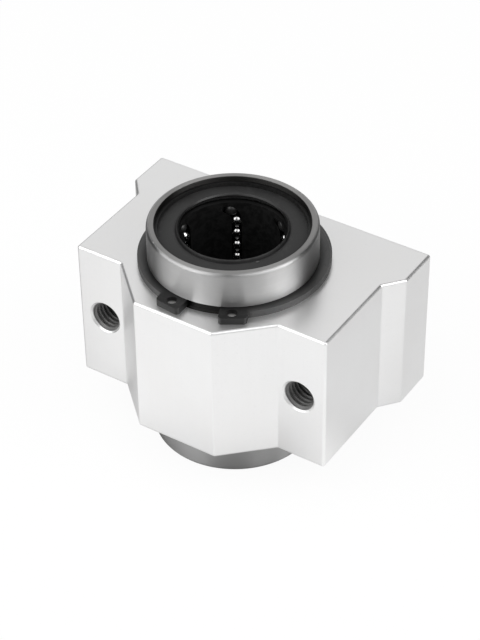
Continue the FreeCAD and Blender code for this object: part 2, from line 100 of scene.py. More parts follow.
class Bench:
    """Places nodes in one tree and joins their sockets."""

    def __init__(self, tree: bpy.types.NodeTree) -> None:
        """Takes the tree to work in and clears it."""
        self.tree = tree
        self.tree.nodes.clear()
        self.placed = 0

    def add(self, kind: str, **settings: object) -> bpy.types.Node:
        """Adds a node.

        Args:
            kind: the node's type without its ShaderNode prefix.
            settings: the node's own properties, by name.

        Returns:
            The new node.
        """
        prefix = "" if kind.startswith("Node") else "ShaderNode"
        node = self.tree.nodes.new(prefix + kind)
        node.location = (190 * (self.placed % 8), -230 * (self.placed // 8))
        self.placed += 1
        for name, value in settings.items():
            setattr(node, name, value)
        return node

    def plug(self, target: bpy.types.NodeSocket, source: object) -> None:
        """Joins a socket to a socket, or gives it a plain value.

        Args:
            target: the input socket.
            source: an output socket, a number, or a tuple for a colour or vector.
        """
        if isinstance(source, bpy.types.NodeSocket):
            self.tree.links.new(source, target)
        else:
            target.default_value = source

    def math(self, operation: str, *values: object) -> bpy.types.NodeSocket:
        """Adds one step of arithmetic.

        Args:
            operation: Blender's name for it, such as MULTIPLY.
            values: its inputs in order, as sockets or numbers.

        Returns:
            The result's socket.
        """
        node = self.add("Math", operation=operation)
        for socket, value in zip(node.inputs, values):
            self.plug(socket, value)
        return node.outputs[0]

    def ramp(self, value: object, low: float, high: float, from_low: float = 0.0,
             from_high: float = 1.0, smooth: bool = False) -> bpy.types.NodeSocket:
        """Maps a value from one range to another, clamped.

        Args:
            value: the socket or number to map.
            low: the result where the value is from_low.
            high: the result where the value is from_high.
            from_low: start of the value's range.
            from_high: end of the value's range.
            smooth: whether the change eases in and out.

        Returns:
            The mapped value's socket.
        """
        kind = "SMOOTHSTEP" if smooth else "LINEAR"
        node = self.add("MapRange", interpolation_type=kind, clamp=True)
        for name, given in (("Value", value), ("From Min", from_low), ("From Max", from_high),
                            ("To Min", low), ("To Max", high)):
            self.plug(node.inputs[name], given)
        return node.outputs["Result"]

    def blend(self, share: object, first: object, second: object) -> bpy.types.NodeSocket:
        """Blends two colours.

        Args:
            share: how much of the second, from 0 to 1.
            first: the colour at 0, as a socket or four numbers.
            second: the colour at 1.

        Returns:
            The blended colour's socket.
        """
        node = self.add("Mix", data_type="RGBA")
        self.plug(node.inputs["Factor"], share)
        colours = [socket for socket in node.inputs if socket.type == "RGBA"]
        self.plug(colours[0], first)
        self.plug(colours[1], second)
        return [socket for socket in node.outputs if socket.type == "RGBA"][0]

    def tint(self, mask: object, share: float, tone: object,
             colour: object) -> bpy.types.NodeSocket:
        """Lays a colour over a tone where a mask is.

        Args:
            mask: the mask's socket, 1 where the colour goes.
            share: how much of the colour shows there.
            tone: the colour under it.
            colour: the colour over it.

        Returns:
            The tinted colour's socket.
        """
        return self.blend(self.math("MULTIPLY", mask, share), tone, colour)

    def weigh(self, first: object, second: object, share: float) -> bpy.types.NodeSocket:
        """Adds up two values by weight.

        Args:
            first: the first value's socket.
            second: the second value's socket.
            share: the first one's weight; the second one has the rest of 1.

        Returns:
            The sum's socket.
        """
        return self.math("ADD", self.math("MULTIPLY", first, share),
                         self.math("MULTIPLY", second, 1.0 - share))

    def noise(self, place: object, scale: object, detail: float,
              roughness: float = 0.55) -> bpy.types.NodeSocket:
        """Adds a noise texture.

        Args:
            place: the socket of the point it reads.
            scale: cells to the metre.
            detail: how many finer layers it has.
            roughness: how strong the finer layers are.

        Returns:
            The noise value's socket, about 0.5 on average.
        """
        node = self.add("TexNoise")
        self.plug(node.inputs["Vector"], place)
        self.plug(node.inputs["Scale"], scale)
        self.plug(node.inputs["Detail"], detail)
        self.plug(node.inputs["Roughness"], roughness)
        return node.outputs["Fac"]

    def stretched(self, place: object, factors: tuple[float, float, float]) -> bpy.types.NodeSocket:
        """Scales a point along each axis, so that a pattern runs in lines.

        Args:
            place: the socket of the point.
            factors: the scale along X, Y and Z.

        Returns:
            The scaled point's socket.
        """
        node = self.add("Mapping")
        self.plug(node.inputs["Vector"], place)
        node.inputs["Scale"].default_value = factors
        return node.outputs["Vector"]


# ------------------------------------------------------------ shared effects


class Effect(Enum):
    """The shader node groups that more than one finish uses."""

    TONE_DRIFT = "Tone drift"
    FINE_GRAIN = "Fine grain"
    TOOL_LINES = "Tool lines"
    WEAR_AND_HIGHLIGHT_BAND = "Wear and highlight band"
    AXIS_PLACE = "Place about the axis"


@dataclass
class EffectShelf:
    """Builds each shared effect once and places it where a finish asks for it."""

    groups: dict[Effect, bpy.types.NodeTree] = field(default_factory=dict)

    def place(self, bench: Bench, effect: Effect, **inputs: object) -> bpy.types.Node:
        """Places an effect in a material.

        Args:
            bench: the material's bench.
            effect: which effect.
            inputs: its inputs, named with underscores for spaces.

        Returns:
            The group node.
        """
        if effect not in self.groups:
            self.groups[effect] = self._build(effect)
        node = bench.add("Group", node_tree=self.groups[effect])
        for name, value in inputs.items():
            bench.plug(node.inputs[name.replace("_", " ")], value)
        return node

    def _build(self, effect: Effect) -> bpy.types.NodeTree:
        """Makes an effect's group.

        Args:
            effect: which effect.

        Returns:
            The finished node group.
        """
        makers = {
            Effect.TONE_DRIFT: self._tone_drift,
            Effect.FINE_GRAIN: self._fine_grain,
            Effect.TOOL_LINES: self._tool_lines,
            Effect.WEAR_AND_HIGHLIGHT_BAND: self._wear_and_highlight_band,
            Effect.AXIS_PLACE: self._axis_place,
        }
        return makers[effect](effect.value)

    @staticmethod
    def _start(name: str, inputs: dict[str, tuple[str, float | None]],
               outputs: dict[str, str]) -> tuple[Bench, bpy.types.Node, bpy.types.Node]:
        """Starts a group with its sockets.

        Args:
            name: the group's name.
            inputs: each input's socket type and first value.
            outputs: each output's socket type.

        Returns:
            The group's bench, its input node and its output node.
        """
        tree = bpy.data.node_groups.new(name, "ShaderNodeTree")
        for socket, (kind, start) in inputs.items():
            made = tree.interface.new_socket(socket, in_out="INPUT", socket_type=kind)
            if start is not None:
                made.default_value = start
        for socket, kind in outputs.items():
            tree.interface.new_socket(socket, in_out="OUTPUT", socket_type=kind)
        bench = Bench(tree)
        return bench, bench.add("NodeGroupInput"), bench.add("NodeGroupOutput")

    def _tone_drift(self, name: str) -> bpy.types.NodeTree:
        """Slow, cloudy change of tone, as a handled or oxidised surface has.

        Args:
            name: the group's name.

        Returns:
            The group, with a colour and a value out.
        """
        bench, given, out = self._start(
            name,
            {"Place": ("NodeSocketVector", None), "Cells": ("NodeSocketFloat", 60.0),
             "Dark": ("NodeSocketColor", None), "Light": ("NodeSocketColor", None)},
            {"Color": "NodeSocketColor", "Value": "NodeSocketFloat"})
        cloud = bench.noise(given.outputs["Place"], given.outputs["Cells"], 4.0)
        share = bench.ramp(cloud, 0.0, 1.0, 0.3, 0.7, smooth=True)
        bench.plug(out.inputs["Color"],
                   bench.blend(share, given.outputs["Dark"], given.outputs["Light"]))
        bench.plug(out.inputs["Value"], share)
        return bench.tree

    def _fine_grain(self, name: str) -> bpy.types.NodeTree:
        """Fine even grain with a few deeper pits, as etched metal or moulded rubber has.

        Args:
            name: the group's name.

        Returns:
            The group, with a height and a pit mask out.
        """
        bench, given, out = self._start(
            name,
            {"Place": ("NodeSocketVector", None), "Cells": ("NodeSocketFloat", 2500.0),
             "Pits": ("NodeSocketFloat", 0.3)},
            {"Height": "NodeSocketFloat", "Pit": "NodeSocketFloat"})
        grain = bench.noise(given.outputs["Place"], given.outputs["Cells"], 2.0, 0.6)
        sparse = bench.math("MULTIPLY", given.outputs["Cells"], 0.31)
        spots = bench.noise(given.outputs["Place"], sparse, 1.0, 0.4)
        pit = bench.ramp(spots, 0.0, 1.0, 0.64, 0.74, smooth=True)
        depth = bench.math("MULTIPLY", pit, given.outputs["Pits"])
        bench.plug(out.inputs["Height"], bench.math("SUBTRACT", grain, depth))
        bench.plug(out.inputs["Pit"], pit)
        return bench.tree

    def _tool_lines(self, name: str) -> bpy.types.NodeTree:
        """Uneven parallel lines that a die, a wheel or a cutter leaves.

        Args:
            name: the group's name.

        Returns:
            The group, with a height and a tone out.
        """
        bench, given, out = self._start(
            name,
            {"Place": ("NodeSocketVector", None), "Lines": ("NodeSocketFloat", 1400.0),
             "Fine": ("NodeSocketFloat", 0.5)},
            {"Height": "NodeSocketFloat", "Tone": "NodeSocketFloat"})
        broad = bench.noise(given.outputs["Place"], given.outputs["Lines"], 2.0, 0.6)
        faster = bench.math("MULTIPLY", given.outputs["Lines"], 4.3)
        narrow = bench.noise(given.outputs["Place"], faster, 1.0, 0.5)
        share = bench.math("MULTIPLY", narrow, given.outputs["Fine"])
        height = bench.math("ADD", broad, share)
        bench.plug(out.inputs["Height"], height)
        bench.plug(out.inputs["Tone"], bench.ramp(height, 0.0, 1.0, 0.5, 1.0))
        return bench.tree

    def _wear_and_highlight_band(self, name: str) -> bpy.types.NodeTree:
        """A broken band along an edge: rubbed wear on the metal finishes, a painted highlight on
        the moulded parts.

        Args:
            name: the group's name.

        Returns:
            The group, with a mask out, 1 at the edge.
        """
        bench, given, out = self._start(
            name,
            {"Place": ("NodeSocketVector", None), "Distance": ("NodeSocketFloat", 0.0),
             "Width": ("NodeSocketFloat", 0.3 * MM), "Cells": ("NodeSocketFloat", 900.0)},
            {"Mask": "NodeSocketFloat"})
        near = bench.math("DIVIDE", given.outputs["Distance"], given.outputs["Width"])
        band = bench.ramp(bench.math("ABSOLUTE", near), 1.0, 0.0, 0.25, 1.0, smooth=True)
        chips = bench.noise(given.outputs["Place"], given.outputs["Cells"], 3.0, 0.65)
        broken = bench.ramp(chips, 0.15, 1.0, 0.38, 0.62, smooth=True)
        bench.plug(out.inputs["Mask"], bench.math("MULTIPLY", band, broken))
        return bench.tree

    def _axis_place(self, name: str) -> bpy.types.NodeTree:
        """Where a point lies about the bearing's axis.

        Args:
            name: the group's name.

        Returns:
            The group: radius, distance from the middle, and a point for round lines.
        """
        bench, given, out = self._start(
            name,
            {"Place": ("NodeSocketVector", None)},
            {"Radius": "NodeSocketFloat", "Half": "NodeSocketFloat",
             "Round": "NodeSocketVector"})
        apart = bench.add("SeparateXYZ")
        bench.plug(apart.inputs[0], given.outputs["Place"])
        across, along, up = apart.outputs
        squares = bench.math("ADD", bench.math("MULTIPLY", across, across),
                             bench.math("MULTIPLY", along, along))
        radius = bench.math("SQRT", squares)
        round_place = bench.add("CombineXYZ")
        turned = bench.math("MULTIPLY", bench.math("ARCTAN2", along, across), 0.4 * MM)
        for socket, value in zip(round_place.inputs, (turned, radius, up)):
            bench.plug(socket, value)
        bench.plug(out.inputs["Radius"], radius)
        bench.plug(out.inputs["Half"], bench.math("ABSOLUTE", up))
        bench.plug(out.inputs["Round"], round_place.outputs[0])
        return bench.tree


# ------------------------------------------------------------------ finishes


class Slot(Enum):
    """The record's material slots meant for the added pieces; the script does not use them."""

    ALUMINIUM = "extruded_aluminium"
    SEAL = "seal_rubber"


def grey(level: float, warmth: float = 0.0) -> tuple[float, float, float, float]:
    """A near-neutral colour.

    Args:
        level: how bright, in linear light.
        warmth: a small shift towards red, or towards blue if below zero.

    Returns:
        The colour as four numbers.
    """
    return (level * (1 + warmth), level, level * (1 - warmth), 1.0)


@dataclass(frozen=True)
class Finish:
    """What every finish has: a name, and a shader with its plain values set on it."""

    name: str
    metallic: float
    specular: float

    def start(self) -> tuple[bpy.types.Material, Bench, bpy.types.Node, bpy.types.NodeSocket]:
        """Starts the material.

        Returns:
            The material, its bench, its shader and the point that patterns read.
        """
        material = bpy.data.materials.new(self.name)
        material.use_nodes = True
        bench = Bench(material.node_tree)
        shader = bench.add("BsdfPrincipled")
        output = bench.add("OutputMaterial")
        bench.plug(output.inputs["Surface"], shader.outputs["BSDF"])
        shader.inputs["Metallic"].default_value = self.metallic
        shader.inputs["Specular IOR Level"].default_value = self.specular
        place = bench.add("TexCoord").outputs["Object"]
        return material, bench, shader, place

    @staticmethod
    def raise_surface(bench: Bench, shader: bpy.types.Node, height: object, depth: float,
                      strength: float) -> None:
        """Gives the shader a bump.

        Args:
            bench: the material's bench.
            shader: the shader that takes the normal.
            height: the height's socket, about 0 to 1.
            depth: how far 1 stands above 0, in metres.
            strength: how much of it shows.
        """
        bump = bench.add("Bump")
        bump.inputs["Strength"].default_value = strength
        bump.inputs["Distance"].default_value = depth
        bench.plug(bump.inputs["Height"], height)
        bench.plug(shader.inputs["Normal"], bump.outputs["Normal"])


@dataclass(frozen=True)
class AnodisedAluminium(Finish):
    """Clear-anodised extrusion: die lines on the sides, a fine-milled face at each end, and painted
    shade at the bore's edge.
    """

    half_length: float = 18.65 * MM
    corner: float = 0.7 * MM
    bore_edge: float = 20.45 * MM
    bore_fade: float = 0.12 * MM
    bore_shade_tone: float = 0.08
    side_roughness: float = 0.42
    cut_roughness: float = 0.34

    def make(self, shelf: EffectShelf) -> bpy.types.Material:
        """Builds the material.

        Args:
            shelf: the shared effects.

        Returns:
            The finished material.
        """
        material, bench, shader, place = self.start()
        about = shelf.place(bench, Effect.AXIS_PLACE, Place=place)
        beyond = bench.math("SUBTRACT", about.outputs["Half"], self.half_length)
        cut = bench.ramp(beyond, 0.0, 1.0, -self.corner, -0.3 * self.corner, smooth=True)
        drift = shelf.place(bench, Effect.TONE_DRIFT, Place=place, Cells=45.0,
                            Dark=grey(0.885, 0.004), Light=grey(0.915, 0.0))
        grain = shelf.place(bench, Effect.FINE_GRAIN, Place=place, Cells=5200.0, Pits=0.3)
        drawn = shelf.place(bench, Effect.TOOL_LINES,
                            Place=bench.stretched(place, (1.0, 1.0, 0.012)),
                            Lines=1300.0, Fine=0.5)
        milled = shelf.place(bench, Effect.TOOL_LINES,
                             Place=bench.stretched(place, (0.05, 1.0, 1.0)),
                             Lines=2300.0, Fine=0.7)
        lines = bench.blend(cut, drawn.outputs["Height"], milled.outputs["Height"])
        rub = shelf.place(bench, Effect.WEAR_AND_HIGHLIGHT_BAND, Place=place, Cells=1500.0,
                          Width=0.3 * MM,
                          Distance=bench.math("ADD", beyond, 0.45 * self.corner))
        tone = bench.tint(drawn.outputs["Tone"], 0.10, drift.outputs["Color"], grey(0.83))
        tone = bench.tint(grain.outputs["Pit"], 0.07, tone, grey(0.65))
        tone = bench.tint(rub.outputs["Mask"], 0.35, tone, grey(0.9))
        # Painted shade: the bore's chamfer is painted dark for the shadow in the gap round the
        # sleeve.
        bore = bench.ramp(about.outputs["Radius"], 1.0, 0.0, self.bore_edge - self.bore_fade,
                          self.bore_edge)
        bench.plug(shader.inputs["Base Color"],
                   bench.blend(bore, tone, grey(self.bore_shade_tone, 0.02)))
        base = bench.ramp(cut, self.side_roughness, self.cut_roughness)
        uneven = bench.ramp(drift.outputs["Value"], -0.025, 0.025)
        bench.plug(shader.inputs["Roughness"], bench.math("ADD", base, uneven))
        marks = bench.weigh(lines, grain.outputs["Height"], 0.5)
        self.raise_surface(bench, shader, marks, 0.008 * MM, 0.5)
        return material


@dataclass(frozen=True)
class TappedAluminium(Finish):
    """The tapped hole's wall: bright on its countersink, and painted dark further down for the
    shade inside the hole.
    """

    mouth: float = -14.62 * MM
    fade: float = 0.22 * MM
    cone_tone: float = 0.75

    def make(self, shelf: EffectShelf) -> bpy.types.Material:
        """Builds the material.

        Args:
            shelf: the shared effects.

        Returns:
            The finished material.
        """
        material, bench, shader, place = self.start()
        drift = shelf.place(bench, Effect.TONE_DRIFT, Place=place, Cells=300.0,
                            Dark=grey(0.13, 0.01), Light=grey(0.17, 0.01))
        cut = shelf.place(bench, Effect.TOOL_LINES,
                          Place=bench.stretched(place, (0.1, 1.0, 0.1)), Lines=5200.0, Fine=0.6)
        apart = bench.add("SeparateXYZ")
        bench.plug(apart.inputs[0], place)
        # Painted shade: past the countersink the wall is painted dark for the shade deep in the
        # hole.
        painted_hole_shade = bench.ramp(apart.outputs[1], 0.0, 1.0, self.mouth, self.mouth + self.fade,
                          smooth=True)
        bench.plug(shader.inputs["Base Color"],
                   bench.blend(painted_hole_shade, grey(self.cone_tone), drift.outputs["Color"]))
        bench.plug(shader.inputs["Roughness"], bench.ramp(drift.outputs["Value"], 0.4, 0.3))
        self.raise_surface(bench, shader, cut.outputs["Height"], 0.015 * MM, 0.7)
        return material


@dataclass(frozen=True)
class GroundSteel(Finish):
    """Hardened bearing steel, ground round the axis, so that its shine spreads up and down; its
    recesses carry painted shade.
    """

    half_length: float = 29.5 * MM
    edge: float = 0.8 * MM
    recess_fade: tuple[float, float] = (18.16 * MM, 18.3 * MM)
    groove_fade: tuple[float, float] = (19.85 * MM, 19.97 * MM)
    groove_heights: tuple[float, float] = (21.5 * MM, 22.5 * MM)
    block_heights: tuple[float, float] = (18.66 * MM, 18.72 * MM)
    sleeve_shade_tone: float = 0.045
    end_tone: float = 0.36
    anisotropy: float = 0.95
    turn: float = 0.25

    def make(self, shelf: EffectShelf) -> bpy.types.Material:
        """Builds the material.

        Args:
            shelf: the shared effects.

        Returns:
            The finished material.
        """
        material, bench, shader, place = self.start()
        about = shelf.place(bench, Effect.AXIS_PLACE, Place=place)
        beyond = bench.math("SUBTRACT", about.outputs["Half"], self.half_length)
        wall = bench.ramp(beyond, 1.0, 0.0, -self.edge, -0.5 * self.edge, smooth=True)
        end_face = bench.ramp(beyond, 0.0, 1.0, -0.05 * MM, -0.005 * MM)
        ground = shelf.place(bench, Effect.TOOL_LINES, Place=about.outputs["Round"],
                             Lines=2100.0, Fine=0.9)
        drift = shelf.place(bench, Effect.TONE_DRIFT, Place=place, Cells=90.0,
                            Dark=grey(0.47, 0.004), Light=grey(0.53, 0.0))
        grain = shelf.place(bench, Effect.FINE_GRAIN, Place=place, Cells=3800.0, Pits=0.4)
        rub = shelf.place(bench, Effect.WEAR_AND_HIGHLIGHT_BAND, Place=place, Cells=1100.0,
                          Width=0.2 * MM, Distance=bench.math("ADD", beyond, self.edge))
        tone = bench.tint(ground.outputs["Tone"], 0.12, drift.outputs["Color"], grey(0.42))
        tone = bench.tint(rub.outputs["Mask"], 0.3, tone, grey(0.35))
        # Painted shade: the flat end face is painted darker than the wall.
        tone = bench.blend(end_face, tone, grey(self.end_tone, 0.01))
        radius, half = about.outputs["Radius"], about.outputs["Half"]
        # Painted shade: the inner chamfer, the ring groove and the length inside the block are
        # painted dark, for the shade in these recesses and between the parts.
        inside = bench.ramp(radius, 1.0, 0.0, *self.recess_fade)
        groove = bench.math("MULTIPLY", bench.ramp(radius, 1.0, 0.0, *self.groove_fade),
                            bench.ramp(half, 1.0, 0.0, *self.groove_heights))
        hidden = bench.math("MAXIMUM", groove, bench.ramp(half, 1.0, 0.0, *self.block_heights))
        sleeve_shade = bench.math("MAXIMUM", inside, hidden)
        tone = bench.blend(sleeve_shade, tone, grey(self.sleeve_shade_tone, 0.02))
        bench.plug(shader.inputs["Base Color"], tone)
        rough = bench.ramp(wall, 0.33, 0.39)
        rough = bench.math("ADD", rough, bench.ramp(ground.outputs["Tone"], -0.03, 0.04))
        rough = bench.math("ADD", rough, bench.math("MULTIPLY", sleeve_shade, 0.25))
        bench.plug(shader.inputs["Roughness"], rough)
        shader.inputs["Anisotropic"].default_value = self.anisotropy
        shader.inputs["Anisotropic Rotation"].default_value = self.turn
        tangent = bench.add("Tangent", direction_type="RADIAL", axis="Z")
        bench.plug(shader.inputs["Tangent"], tangent.outputs["Tangent"])
        marks = bench.weigh(ground.outputs["Height"], grain.outputs["Height"], 0.7)
        self.raise_surface(bench, shader, marks, 0.003 * MM, 0.35)
        return material


@dataclass(frozen=True)
class BlackOxide(Finish):
    """Oiled black oxide on stamped spring steel, rubbed at its rims, painted dark towards the
    sleeve as shade, darker round its pliers holes, with a painted highlight low in the holes.
    """

    level: float
    rims: tuple[float, ...]
    roughness: float = 0.42
    corner: float = 20.1 * MM
    shade_reach: float = 1.9 * MM
    holes: tuple[Vector, ...] = ()
    near_hole_reach: tuple[float, float] = (3.2 * MM, 4.8 * MM)
    highlight_reach: tuple[float, float] = (1.27 * MM, 1.35 * MM)
    highlight_heights: tuple[float, float] = (18.9 * MM, 19.4 * MM)

    def make(self, shelf: EffectShelf) -> bpy.types.Material:
        """Builds the material.

        Args:
            shelf: the shared effects.

        Returns:
            The finished material.
        """
        material, bench, shader, place = self.start()
        about = shelf.place(bench, Effect.AXIS_PLACE, Place=place)
        drift = shelf.place(bench, Effect.TONE_DRIFT, Place=place, Cells=160.0,
                            Dark=grey(self.level * 0.82, -0.02),
                            Light=grey(self.level * 1.15, 0.01))
        grain = shelf.place(bench, Effect.FINE_GRAIN, Place=place, Cells=3200.0, Pits=0.6)
        rolled = shelf.place(bench, Effect.TOOL_LINES,
                             Place=bench.stretched(place, (1.0, 0.06, 1.0)),
                             Lines=1500.0, Fine=0.6)
        tone = bench.tint(rolled.outputs["Tone"], 0.25, drift.outputs["Color"],
                          grey(self.level * 1.5, 0.01))
        for rim in self.rims:
            rub = shelf.place(bench, Effect.WEAR_AND_HIGHLIGHT_BAND, Place=place, Cells=1300.0,
                              Width=0.22 * MM,
                              Distance=bench.math("SUBTRACT", about.outputs["Radius"], rim))
            tone = bench.tint(rub.outputs["Mask"], 0.3, tone, grey(self.level * 3.2, 0.01))
        # Painted shade: towards the sleeve the ring is painted near black, for the shade in the
        # corner.
        inner_shade = bench.ramp(about.outputs["Radius"], 0.9, 0.0, self.corner,
                          self.corner + self.shade_reach, smooth=True)
        tone = bench.blend(inner_shade, tone, grey(0.006))
        low = bench.ramp(about.outputs["Half"], 1.0, 0.0, *self.highlight_heights)
        for hole in self.holes:
            apart = bench.add("VectorMath", operation="DISTANCE")
            bench.plug(apart.inputs[0], bench.stretched(place, (1.0, 1.0, 0.0)))
            apart.inputs[1].default_value = hole
            # Darker round each pliers hole.
            near_holes = bench.ramp(apart.outputs["Value"], 0.75, 0.0, *self.near_hole_reach)
            tone = bench.blend(near_holes, tone, grey(0.012))
            # Painted highlight: the lower wall of each pliers hole is painted light, for the lit
            # block face seen through it.
            hole_highlight = bench.ramp(apart.outputs["Value"], 1.0, 0.0, *self.highlight_reach)
            tone = bench.blend(bench.math("MULTIPLY", hole_highlight, low), tone, grey(0.4, 0.01))
        bench.plug(shader.inputs["Base Color"], tone)
        rough = bench.ramp(drift.outputs["Value"], self.roughness - 0.06, self.roughness + 0.06)
        bench.plug(shader.inputs["Roughness"],
                   bench.math("ADD", rough, bench.math("MULTIPLY", grain.outputs["Pit"], 0.12)))
        marks = bench.weigh(rolled.outputs["Height"], grain.outputs["Height"], 0.4)
        self.raise_surface(bench, shader, marks, 0.012 * MM, 0.6)
        return material


@dataclass(frozen=True)
class MouldedPart(Finish):
    """Moulded rubber or plastic: soft grain, a painted highlight band, and painted shade inside the
    lip and along its foot.
    """

    dark: float
    light: float
    roughness: float = 0.55
    highlight_radius: float = 13.0 * MM
    highlight_tone: float = 0.11
    shade_radius: float = 12.85 * MM
    lip_foot: float = 13.2 * MM
    foot_fade: tuple[float, float] = (0.12 * MM, 0.26 * MM)

    def make(self, shelf: EffectShelf) -> bpy.types.Material:
        """Builds the material.

        Args:
            shelf: the shared effects.

        Returns:
            The finished material.
        """
        material, bench, shader, place = self.start()
        about = shelf.place(bench, Effect.AXIS_PLACE, Place=place)
        drift = shelf.place(bench, Effect.TONE_DRIFT, Place=place, Cells=130.0,
                            Dark=grey(self.dark), Light=grey(self.light))
        grain = shelf.place(bench, Effect.FINE_GRAIN, Place=place, Cells=2400.0, Pits=0.7)
        # Painted highlight: a paler band at the given radius, for the light that the seal's lip
        # edge catches; on the cage it lightens the bore.
        highlight_band = shelf.place(bench, Effect.WEAR_AND_HIGHLIGHT_BAND, Place=place, Cells=700.0,
                           Width=0.3 * MM,
                           Distance=bench.math("SUBTRACT", about.outputs["Radius"],
                                               self.highlight_radius))
        tone = bench.tint(highlight_band.outputs["Mask"], 0.5, drift.outputs["Color"],
                          grey(self.highlight_tone))
        tone = bench.tint(grain.outputs["Pit"], 0.3, tone, grey(self.light * 1.6))
        # Painted shade: inside the lip is painted near black, and a dark line along the lip's foot
        # stands in for the shadow in the valley behind it.
        inner_shade = bench.ramp(about.outputs["Radius"], 0.85, 0.0, self.shade_radius - 0.1 * MM,
                          self.shade_radius)
        foot = bench.math("SUBTRACT", about.outputs["Radius"], self.lip_foot)
        foot_shade = bench.ramp(bench.math("ABSOLUTE", foot), 0.85, 0.0, *self.foot_fade)
        foot_shade = bench.math("MAXIMUM", inner_shade, foot_shade)
        bench.plug(shader.inputs["Base Color"], bench.blend(foot_shade, tone, grey(0.004)))
        rough = bench.ramp(drift.outputs["Value"], self.roughness - 0.07, self.roughness + 0.07)
        bench.plug(shader.inputs["Roughness"],
                   bench.math("SUBTRACT", rough, bench.math("MULTIPLY", inner_shade, 0.3)))
        self.raise_surface(bench, shader, grain.outputs["Height"], 0.02 * MM, 0.5)
        return material


@dataclass(frozen=True)
class PolishedBall(Finish):
    """Lapped ball steel with a film of oil or grease and hair-fine scratches."""

    dark: float = 0.50
    light: float = 0.60
    roughness: float = 0.11

    def make(self, shelf: EffectShelf) -> bpy.types.Material:
        """Builds the material.

        Args:
            shelf: the shared effects.

        Returns:
            The finished material.
        """
        material, bench, shader, place = self.start()
        drift = shelf.place(bench, Effect.TONE_DRIFT, Place=place, Cells=500.0,
                            Dark=grey(self.dark, 0.01), Light=grey(self.light, 0.0))
        hair = shelf.place(bench, Effect.TOOL_LINES,
                           Place=bench.stretched(place, (1.0, 0.15, 0.6)),
                           Lines=5200.0, Fine=0.8)
        bench.plug(shader.inputs["Base Color"],
                   bench.tint(hair.outputs["Tone"], 0.15, drift.outputs["Color"],
                              grey(0.8 * self.dark)))
        bench.plug(shader.inputs["Roughness"],
                   bench.ramp(drift.outputs["Value"], self.roughness - 0.04,
                              self.roughness + 0.04))
        self.raise_surface(bench, shader, hair.outputs["Height"], 0.001 * MM, 0.3)
        return material


# -------------------------------------------------------------- sub-assemblies


@dataclass
class Workshop:
    """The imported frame, the shared effects, and the way a finished piece is handed over."""

    frame: dict
    shelf: EffectShelf = field(default_factory=EffectShelf)

    def dress(self, nodes: list[str], finish: Finish) -> None:
        """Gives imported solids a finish.

        Args:
            nodes: their names.
            finish: the finish that they share.
        """
        material = finish.make(self.shelf)
        for name in nodes:
            solid = self.frame["nodes"][name]
            for slot in solid.material_slots:
                slot.material = material
            if not solid.material_slots:
                solid.data.materials.append(material)
            LOG.info("dressed %s in %s", name, finish.name)

    def hand_over(self, mesh: bmesh.types.BMesh, name: str, finish: Finish) -> None:
        """Turns a modelled shape into a piece that rides on the part.

        Args:
            mesh: the shape, in its place; it is freed.
            name: the piece's name.
            finish: its finish.
        """
        data = bpy.data.meshes.new(name)
        mesh.to_mesh(data)
        mesh.free()
        data.materials.append(finish.make(self.shelf))
        piece = bpy.data.objects.new(name, data)
        bpy.context.scene.collection.objects.link(piece)
        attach(piece, BODY)
        LOG.info("built %s: %d faces", name, len(data.polygons))


